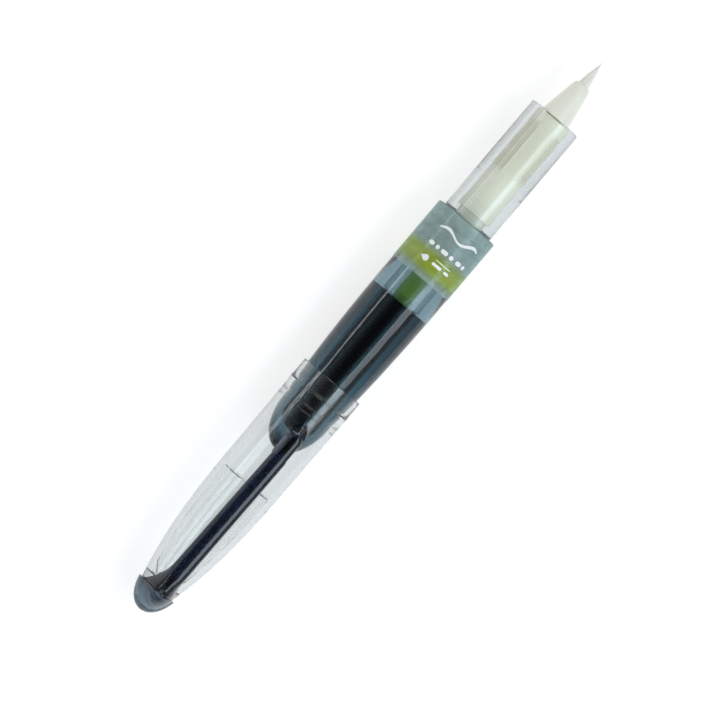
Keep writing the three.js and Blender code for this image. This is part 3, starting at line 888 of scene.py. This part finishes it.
def draw_clip(crown, cap):
    """Draws the clip from inside the dome to its point, ring by ring."""
    distances = spaced(0.9, 4.84, 14) + [4.86] + spaced(5.0, 12.0, 24) + spaced(13.0, 36.6, 24)
    distances += [37.09, 37.11, 38.3, 39.5, 40.69, 40.71, 41.2] + spaced(41.5, 44.65, 12)
    deselect()
    rings = [clip_ring(d, crown, cap) for d in distances]
    bpy.ops.mesh.primitive_circle_add(vertices=len(rings[0]), radius=MM, fill_type="NGON", location=(0, 0, 0))
    obj = bpy.context.object
    bpy.ops.object.mode_set(mode="EDIT")
    bpy.ops.mesh.select_mode(type="VERT")
    bpy.ops.mesh.select_all(action="SELECT")
    place_ring(obj, distances[0], rings[0])
    for distance, ring in zip(distances[1:], rings[1:]):
        bpy.ops.mesh.extrude_region_move(TRANSFORM_OT_translate={"value": (MM, 0, 0)})
        place_ring(obj, distance, ring)
    bpy.ops.mesh.select_all(action="SELECT")
    bpy.ops.mesh.normals_make_consistent(inside=False)
    bpy.ops.object.mode_set(mode="OBJECT")
    return obj


class PEN_OT_feed(bpy.types.Operator):
    """Model the collector with its spine, the nipple and the wick"""

    bl_idname = "brush_pen.feed"
    bl_label = "Collector, nipple and wick"

    def execute(self, context):
        pen = context.scene.brush_pen
        feed = millimetres(pen.feed)
        cream = moulded_solid("cream_moulding", pen.colours.cream, 0.42, subsurface=0.25)
        comb = turn(comb_outline(feed), 72, sharp=30)
        add_spine(comb, feed)
        finish_piece(comb, "collector_comb", cream, "section", ["collector"])
        rear, front = reach("feed_nipple")
        nipple = turn([
            (rear, feed["wick"] + 0.1, 0.05),
            (rear, 1.5, 0.15),
            (rear + 0.8, 1.9, 0.2),
            (front - feed["nipple_flange"], 1.9, 0.25),
            (front - feed["nipple_flange"], feed["radius"], 0.3),
            (front - 2.6, feed["radius"], 0.1),
            (front - 2.5, feed["radius"] - 0.3, 0.1),
            (front - 1.9, feed["radius"] - 0.3, 0.1),
            (front - 1.8, feed["radius"], 0.1),
            (front, feed["radius"], 0.2),
            (front, feed["wick"] + 0.1, 0.05),
        ], SMALL_ROUND)
        lime = moulded_solid("lime_moulding", pen.colours.lime, 0.35, subsurface=0.3)
        finish_piece(nipple, "ink_nipple", lime, "section", ["feed_nipple"])
        rear, front = reach("ink_wick")
        wick = turn([
            (rear, 0), (rear, feed["wick"], 0.2), (front, feed["wick"], 0.2), (front, 0),
        ], 48)
        fibre = bound_fibre("wick_fibre", (0.45, 0.46, 0.42))
        finish_piece(wick, "wick_rod", fibre, "section", ["ink_wick"])
        return {"FINISHED"}


def add_spine(comb, feed):
    """Joins a rib along the fins, turned a little from straight up."""
    _, front = reach("collector")
    rear = front - feed["flange"] - feed["finned"] - 0.25
    length = feed["finned"] + 0.5
    deselect()
    bpy.ops.mesh.primitive_cube_add(size=1, location=(0, 0, 0))
    rib = bpy.context.object
    bpy.ops.object.mode_set(mode="EDIT")
    bpy.ops.transform.resize(value=(length * MM, feed["spine"] * MM, 1.2 * MM))
    bpy.ops.mesh.bevel(offset=0.08 * MM, segments=2)
    bpy.ops.object.mode_set(mode="OBJECT")
    lift = feed["radius"] - 0.72
    turned = Matrix.Rotation(math.radians(-12), 4, "X")
    place = Matrix.Translation((MOUTH + (rear + length / 2) * MM, 0, AXIS))
    rib.data.transform(place @ turned @ Matrix.Translation((0, 0, lift * MM)))
    join_solid(comb, rib)


def join_solid(obj, other, sharp=30):
    """Unites two closed pieces into the first."""
    deselect()
    bpy.context.view_layer.objects.active = obj
    obj.select_set(True)
    union = obj.modifiers.new("Union", "BOOLEAN")
    union.operation = "UNION"
    union.solver = "EXACT"
    union.object = other
    bpy.ops.object.modifier_apply(modifier=union.name)
    bpy.data.objects.remove(other)
    bpy.ops.object.shade_smooth_by_angle(angle=math.radians(sharp))


class PEN_OT_tip(bpy.types.Operator):
    """Turn the tip holder and shape the soft brush"""

    bl_idname = "brush_pen.tip"
    bl_label = "Tip holder and brush"

    def execute(self, context):
        pen = context.scene.brush_pen
        brush = millimetres(pen.brush)
        rear, front = reach("tip_holder")
        grip_front = reach("grip_section")[1]
        full = radius("tip_holder")
        holder = turn([
            (rear, 0.95, 0.05),
            (rear, 2.0, 0.2),
            (grip_front - 0.1, 2.0, 0.1),
            (grip_front - 0.1, full, 0.12),
            (grip_front + 1.2, full - 0.03, 0.9),
            (front - 0.55, 1.74, 0.25),
            (front - 0.1, 1.56, 0.2),
            (front, 1.42, 0.06),
            (front - 0.02, brush["holder_bore"], 0.06),
            (front - 1.8, brush["holder_bore"], 0.1),
            (front - 1.8, 0.95, 0.05),
        ], SMALL_ROUND)
        ivory = moulded_solid("ivory_moulding", pen.colours.holder, 0.38, subsurface=0.2)
        finish_piece(holder, "nib_cone", ivory, "section", ["tip_holder"])
        make_brush(pen, brush, front)
        return {"FINISHED"}


def make_brush(pen, brush, holder_front):
    """The brush: a round root and a gently swelling taper to a soft point."""
    root, point = reach("brush_tip")
    full = brush["radius"]
    pivot = holder_front - 0.2
    outline = [(pivot - full * math.cos(a), full * math.sin(a)) for a in spaced(0, math.pi / 2, 10)]
    taper = point - 0.3 - pivot
    for t in spaced(0.06, 1, 22):
        outline.append((pivot + taper * t, full * (1 - 0.97 * t**1.08) + 0.12 * math.sin(math.pi * t) * 0.5))
    outline += [(point - 0.12, 0.075), (point, 0)]
    obj = turn(outline, 64, sharp=60)
    finish_piece(obj, "brush_point", bound_fibre("brush_fibre", pen.colours.brush), None,
                 ["brush_tip"])
    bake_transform(obj)


TAIL_WALLS = 1.6            # the cartridge's tail is this many walls thick
INNER_NOSE = 2.4            # length of the rounded end of its inside


class PEN_OT_cartridge(bpy.types.Operator):
    """Turn the cartridge, its ink and the ball that sealed it"""

    bl_idname = "brush_pen.cartridge"
    bl_label = "Cartridge"

    def execute(self, context):
        pen = context.scene.brush_pen
        size_of = millimetres(pen.cartridge)
        rear, front = reach("cartridge_body")
        full, wall = size_of["radius"], size_of["wall"]
        face = reach("grip_section")[0] - 0.05
        body = [(rear + d, nose(d, size_of["nose"], full)) for d in nose_steps(size_of["nose"], 14)]
        body += [
            (face - size_of["collar"], full, 0.1),
            (face - size_of["collar"] + 0.15, full + 0.13, 0.1),
            (face, full + 0.13, 0.12),
            (face, size_of["neck"], 0.1),
            (front, size_of["neck"], 0.12),
            (front, size_of["neck"] - 0.5, 0.08),
            (face - 0.4, size_of["neck"] - 0.5, 0.08),
            (face - 0.4, full - wall, 0.1),
        ]
        body += [(rear + wall * TAIL_WALLS + d, nose(d, INNER_NOSE, full - wall))
                 for d in reversed(nose_steps(INNER_NOSE, 10))]
        tube = turn(body, SMALL_ROUND)
        milky = moulded_clear("cartridge_moulding", (0.96, 0.975, 0.98), (0.9, 0.92, 0.92),
                              rough=(0.02, 0.06))
        finish_piece(tube, "cartridge_tube", milky, "cartridge", ["cartridge_body"])
        self.fill(pen, size_of, rear, face)
        return {"FINISHED"}

    def fill(self, pen, size_of, rear, face):
        """The ink, with the pocket in which the ball lies, and the ball."""
        low, high = reach("cartridge_ball")
        centre, ball = (low + high) / 2, size_of["ball"]
        bore = size_of["radius"] - size_of["wall"] + 0.02
        tail = rear + size_of["wall"] * TAIL_WALLS - 0.03
        pocket = ball + 0.12
        ink = [(tail + d, nose(d, INNER_NOSE, bore)) for d in nose_steps(INNER_NOSE, 10)]
        ink += [(face - 0.38, bore, 0.1), (face - 0.38, pocket, 0.1)]
        ink += [(centre - pocket * math.cos(a), pocket * math.sin(a))
                for a in spaced(math.pi / 2, 0, 10)]
        charge = turn(ink, SMALL_ROUND)
        finish_piece(charge, "ink_fill", wet_ink("black_ink", pen.colours.ink), "cartridge",
                     ["ink_charge"])
        deselect()
        bpy.ops.mesh.primitive_ico_sphere_add(subdivisions=5, radius=ball * MM, location=(0, 0, 0))
        sphere = bpy.context.object
        sphere.data.transform(Matrix.Translation((MOUTH + centre * MM, 0, AXIS)))
        bpy.ops.object.shade_smooth()
        finish_piece(sphere, "seal_ball", polished_steel("ball_steel"), "cartridge",
                     ["cartridge_ball"])


class PEN_OT_label(bpy.types.Operator):
    """Lay the printed film round the barrel, with its plain white marks"""

    bl_idname = "brush_pen.label"
    bl_label = "Label"

    def execute(self, context):
        pen = context.scene.brush_pen
        rear, front = reach("label_film")
        inner = radius("barrel") + 0.008
        outer = radius("label_film") - 0.02
        sheet = turn([(rear, outer, 0.02), (front, outer, 0.02), (front, inner), (rear, inner)])
        flange = reach("feed_nipple")[1]
        flange_rear = flange - millimetres(pen.feed)["nipple_flange"] - BODY_GAP
        # The film is painted lime between these stations: a painted glow of the flange behind it.
        film = label_film("clear_film", pen.colours.lime, flange_rear, flange)
        finish_piece(sheet, "label_sheet", film, "barrel", ["label_film"])
        marks = print_marks(outer)
        finish_piece(marks, "label_marks", screen_print("white_print", pen.colours.print),
                     "barrel")
        return {"FINISHED"}


# The marks' places: stations along the pen, and arc lengths round it from straight up, in millimetres.
STROKE_ROW = -3.6
DASH_ROW = -6.9
BADGE_ROW = -9.7
DASHES = ((-3.9, 0.8), (-2.5, 1.3), (-0.7, 0.9), (0.9, 1.5), (2.5, 0.8), (3.9, 1.2))


def flat_strip(length, count):
    """A strip of faces along Y, one unit wide along X, ready to be shaped."""
    deselect()
    bpy.ops.mesh.primitive_grid_add(x_subdivisions=2, y_subdivisions=count, size=1, location=(0, 0, 0))
    obj = bpy.context.object
    for vertex in obj.data.vertices:
        vertex.co.y *= length
    return obj


def brush_stroke(station, low, high):
    """A written wave that swells and thins as a brush would draw it."""
    obj = flat_strip(high - low, 60)
    middle = (low + high) / 2
    for vertex in obj.data.vertices:
        t = vertex.co.y / (high - low) + 0.5
        swell = 0.26 + 0.6 * math.sin(math.pi * t) ** 0.7 * (0.6 + 0.4 * math.sin(7.5 * t + 0.6))
        wave = 0.62 * math.sin(9.2 * t + 0.4) * (1 - 0.35 * t)
        vertex.co.x = station + wave + vertex.co.x * swell
        vertex.co.y += middle
    return obj


def pill(station, middle, length, width):
    """A dash with round ends."""
    obj = flat_strip(length, 14)
    for vertex in obj.data.vertices:
        left = length / 2 - abs(vertex.co.y)
        end = width / 2
        half = math.sqrt(max(end**2 - max(end - left, 0) ** 2, 0.0001))
        vertex.co.x = station + math.copysign(half, vertex.co.x)
        vertex.co.y += middle
    return obj


def drop(station, middle, size_mm):
    """A drop of ink, the plain emblem that stands on the label."""
    deselect()
    bpy.ops.mesh.primitive_circle_add(vertices=40, radius=size_mm / 2, fill_type="TRIFAN", location=(0, 0, 0))
    obj = bpy.context.object
    for vertex in obj.data.vertices:
        x, y = vertex.co.x, vertex.co.y
        if y > 0:
            x *= 1 - (y / (size_mm / 2)) ** 1.3 * 0.9
            y *= 1.7
        vertex.co.x = station + x
        vertex.co.y = middle + y
    return obj


def print_marks(surface):
    """All the white marks as one printed layer, wrapped round the film."""
    marks = [brush_stroke(STROKE_ROW, -4.2, 4.7)]
    marks += [pill(DASH_ROW, at, length, 0.8) for at, length in DASHES]
    marks += [drop(BADGE_ROW, 3.0, 1.25), pill(BADGE_ROW, 0.4, 2.2, 0.55), pill(BADGE_ROW, -1.9, 1.2, 0.55)]
    marks += [pill(BADGE_ROW + 0.85, -0.5, 3.6, 0.16)]
    deselect()
    for obj in marks:
        obj.select_set(True)
    bpy.context.view_layer.objects.active = marks[0]
    bpy.ops.object.join()
    obj = bpy.context.object
    for vertex in obj.data.vertices:
        angle = vertex.co.y / surface
        height = surface + 0.006
        vertex.co = Vector((
            MOUTH + vertex.co.x * MM,
            height * math.sin(angle) * MM,
            AXIS + height * math.cos(angle) * MM,
        ))
    layer = obj.modifiers.new("Ink layer", "SOLIDIFY")
    layer.thickness = 0.012 * MM
    layer.offset = 1
    bpy.ops.object.modifier_apply(modifier=layer.name)
    bpy.ops.object.mode_set(mode="EDIT")
    bpy.ops.mesh.select_all(action="SELECT")
    bpy.ops.mesh.normals_make_consistent(inside=False)
    bpy.ops.object.mode_set(mode="OBJECT")
    bpy.ops.object.shade_smooth_by_angle(angle=math.radians(40))
    return obj


# ---- Stage -------------------------------------------------------------------------------------------

ROLL = math.radians(49.71)          # how far the pen's axis climbs across the picture
LEAN = math.radians(12)             # how far the view leans from straight down, towards +Y
VIEW_DISTANCE = 0.9
VIEW_WIDTH = 0.1291                 # width of the picture at the pen
VIEW_CENTRE = (-0.00466, -0.00132)  # along the pen, and across it in the picture


class PEN_OT_stage(bpy.types.Operator):
    """Set the pale floor, the soft lights and the camera"""

    bl_idname = "brush_pen.stage"
    bl_label = "Stage"

    def execute(self, context):
        toward = Vector((0, math.sin(LEAN), math.cos(LEAN)))
        along = Vector((1, 0, 0))
        across = toward.cross(along)
        right = along * math.cos(ROLL) - across * math.sin(ROLL)
        up = along * math.sin(ROLL) + across * math.cos(ROLL)
        target = Vector((0, 0, AXIS)) + along * VIEW_CENTRE[0] + across * VIEW_CENTRE[1]
        add_camera(context, target, right, up, toward)
        add_floor()
        add_light("key_strip", target, toward, across, along, -43, 0.55, (0.7, 0.22), 1.7, (0.8, 0.92, 1.0))
        add_light("fill_strip", target, toward, across, along, 53, 0.6, (0.7, 0.07), 0.6, (0.9, 0.96, 1.0))
        add_light("front_soft", target, toward, along, across, 50, 0.7, (0.5, 0.4), 0.7, (1.0, 1.0, 1.0))
        add_light("rear_soft", target, toward, along, across, -50, 0.7, (0.5, 0.4), 0.7, (1.0, 1.0, 1.0))
        add_world(context, toward)
        return {"FINISHED"}


def add_camera(context, target, right, up, toward):
    deselect()
    bpy.ops.object.camera_add(location=target + toward * VIEW_DISTANCE)
    camera = context.object
    camera.name = "camera"
    camera.matrix_world = Matrix.Translation(target + toward * VIEW_DISTANCE) @ Matrix(
        (right, up, toward)).transposed().to_4x4()
    camera.data.sensor_width = 36
    camera.data.lens = 36 * VIEW_DISTANCE / VIEW_WIDTH
    camera.data.clip_start = 0.01
    camera.data.dof.use_dof = False
    context.scene.camera = camera


def add_floor():
    deselect()
    bpy.ops.mesh.primitive_plane_add(size=3, location=(0, 0, -0.00002))
    floor = bpy.context.object
    floor.name = "floor"
    material, nodes, links, paint, _ = new_material("pale_floor")
    tone = noise(nodes, links, 30.0, detail=3.0)
    links.new(varied_colour(nodes, links, tone, (0.38, 0.38, 0.38), (0.4, 0.4, 0.4)),
              paint.inputs["Base Color"])
    paint.inputs["Roughness"].default_value = 0.9
    place = nodes.new("ShaderNodeTexCoord")
    away = nodes.new("ShaderNodeVectorMath")
    away.operation = "LENGTH"
    links.new(place.outputs["Object"], away.inputs[0])
    glow = ranged(nodes, links, away.outputs["Value"], 0.72, 0.12, 0.1, 0.22)
    links.new(glow, paint.inputs["Emission Strength"])
    paint.inputs["Emission Color"].default_value = (1, 1, 1, 1)
    floor.data.materials.append(material)


def add_light(name, target, toward, across, along, angle, distance, area, strength, tint):
    """A soft strip along the pen, at an angle from the view towards the upper side of the picture."""
    turn_by = math.radians(angle)
    direction = toward * math.cos(turn_by) + across * math.sin(turn_by)
    deselect()
    bpy.ops.object.light_add(type="AREA", location=target + direction * distance)
    lamp = bpy.context.object
    lamp.name = name
    lamp.data.shape = "RECTANGLE"
    lamp.data.size, lamp.data.size_y = area
    lamp.data.energy = strength
    lamp.data.color = tint
    side = along.cross(direction).normalized()
    lamp.matrix_world = Matrix.Translation(target + direction * distance) @ Matrix(
        (along, side * -1, direction)).transposed().to_4x4()


# How bright the studio is, from level with the floor (0) to straight above the pen (1).
SKY = ((0.42, 0.5), (0.64, 0.35), (0.87, 0.28), (0.97, 0.08), (1.0, 0.05))


def add_world(context, toward):
    """A tent of light that is bright at its sides and dim overhead."""
    world = bpy.data.worlds.new("studio")
    world.use_nodes = True
    nodes, links = world.node_tree.nodes, world.node_tree.links
    place = nodes.new("ShaderNodeTexCoord")
    upward = nodes.new("ShaderNodeVectorMath")
    upward.operation = "DOT_PRODUCT"
    upward.inputs[1].default_value = toward
    ramp = nodes.new("ShaderNodeValToRGB")
    ramp.color_ramp.elements.remove(ramp.color_ramp.elements[1])
    ramp.color_ramp.elements[0].color = (0.5, 0.54, 0.6, 1)
    for position, level in SKY:
        ramp.color_ramp.elements.new(position).color = (level, level * 1.03, level * 1.06, 1)
    links.new(place.outputs["Generated"], upward.inputs[0])
    links.new(upward.outputs["Value"], ramp.inputs["Fac"])
    links.new(ramp.outputs["Color"], nodes["Background"].inputs["Color"])
    context.scene.world = world
    context.scene.view_settings.view_transform = "Standard"
    cycles = context.scene.cycles
    cycles.max_bounces = 40
    cycles.transmission_bounces = 40
    cycles.glossy_bounces = 12
    cycles.diffuse_bounces = 5
    cycles.transparent_max_bounces = 64


class PEN_PT_panel(bpy.types.Panel):
    bl_idname = "PEN_PT_panel"
    bl_label = "Brush Pen"
    bl_space_type = "VIEW_3D"
    bl_region_type = "UI"
    bl_category = "Brush Pen"

    def draw(self, context):
        for operator in OPERATORS:
            self.layout.operator(operator.bl_idname)


# ---- Registration ------------------------------------------------------------------------------------

SETTINGS = (
    BarrelSizes, ThreadSizes, SectionSizes, FeedSizes, CapSizes, CrownSizes, CartridgeSizes, BrushSizes,
    Colours, PenSettings,
)
OPERATORS = (
    PEN_OT_stage, PEN_OT_barrel, PEN_OT_grip, PEN_OT_cap, PEN_OT_crown, PEN_OT_feed, PEN_OT_tip,
    PEN_OT_cartridge, PEN_OT_label,
)


def register():
    for kind in (*SETTINGS, *OPERATORS, PEN_PT_panel):
        bpy.utils.register_class(kind)
    bpy.types.Scene.brush_pen = bpy.props.PointerProperty(type=PenSettings)


def unregister():
    del bpy.types.Scene.brush_pen
    for kind in reversed((*SETTINGS, *OPERATORS, PEN_PT_panel)):
        bpy.utils.unregister_class(kind)


def main():
    register()
    bpy.ops.brush_pen.stage()
    bpy.ops.brush_pen.barrel()
    bpy.ops.brush_pen.grip()
    bpy.ops.brush_pen.cap()
    bpy.ops.brush_pen.crown()
    bpy.ops.brush_pen.feed()
    bpy.ops.brush_pen.tip()
    bpy.ops.brush_pen.cartridge()
    bpy.ops.brush_pen.label()


if __name__ == "__main__":
    main()
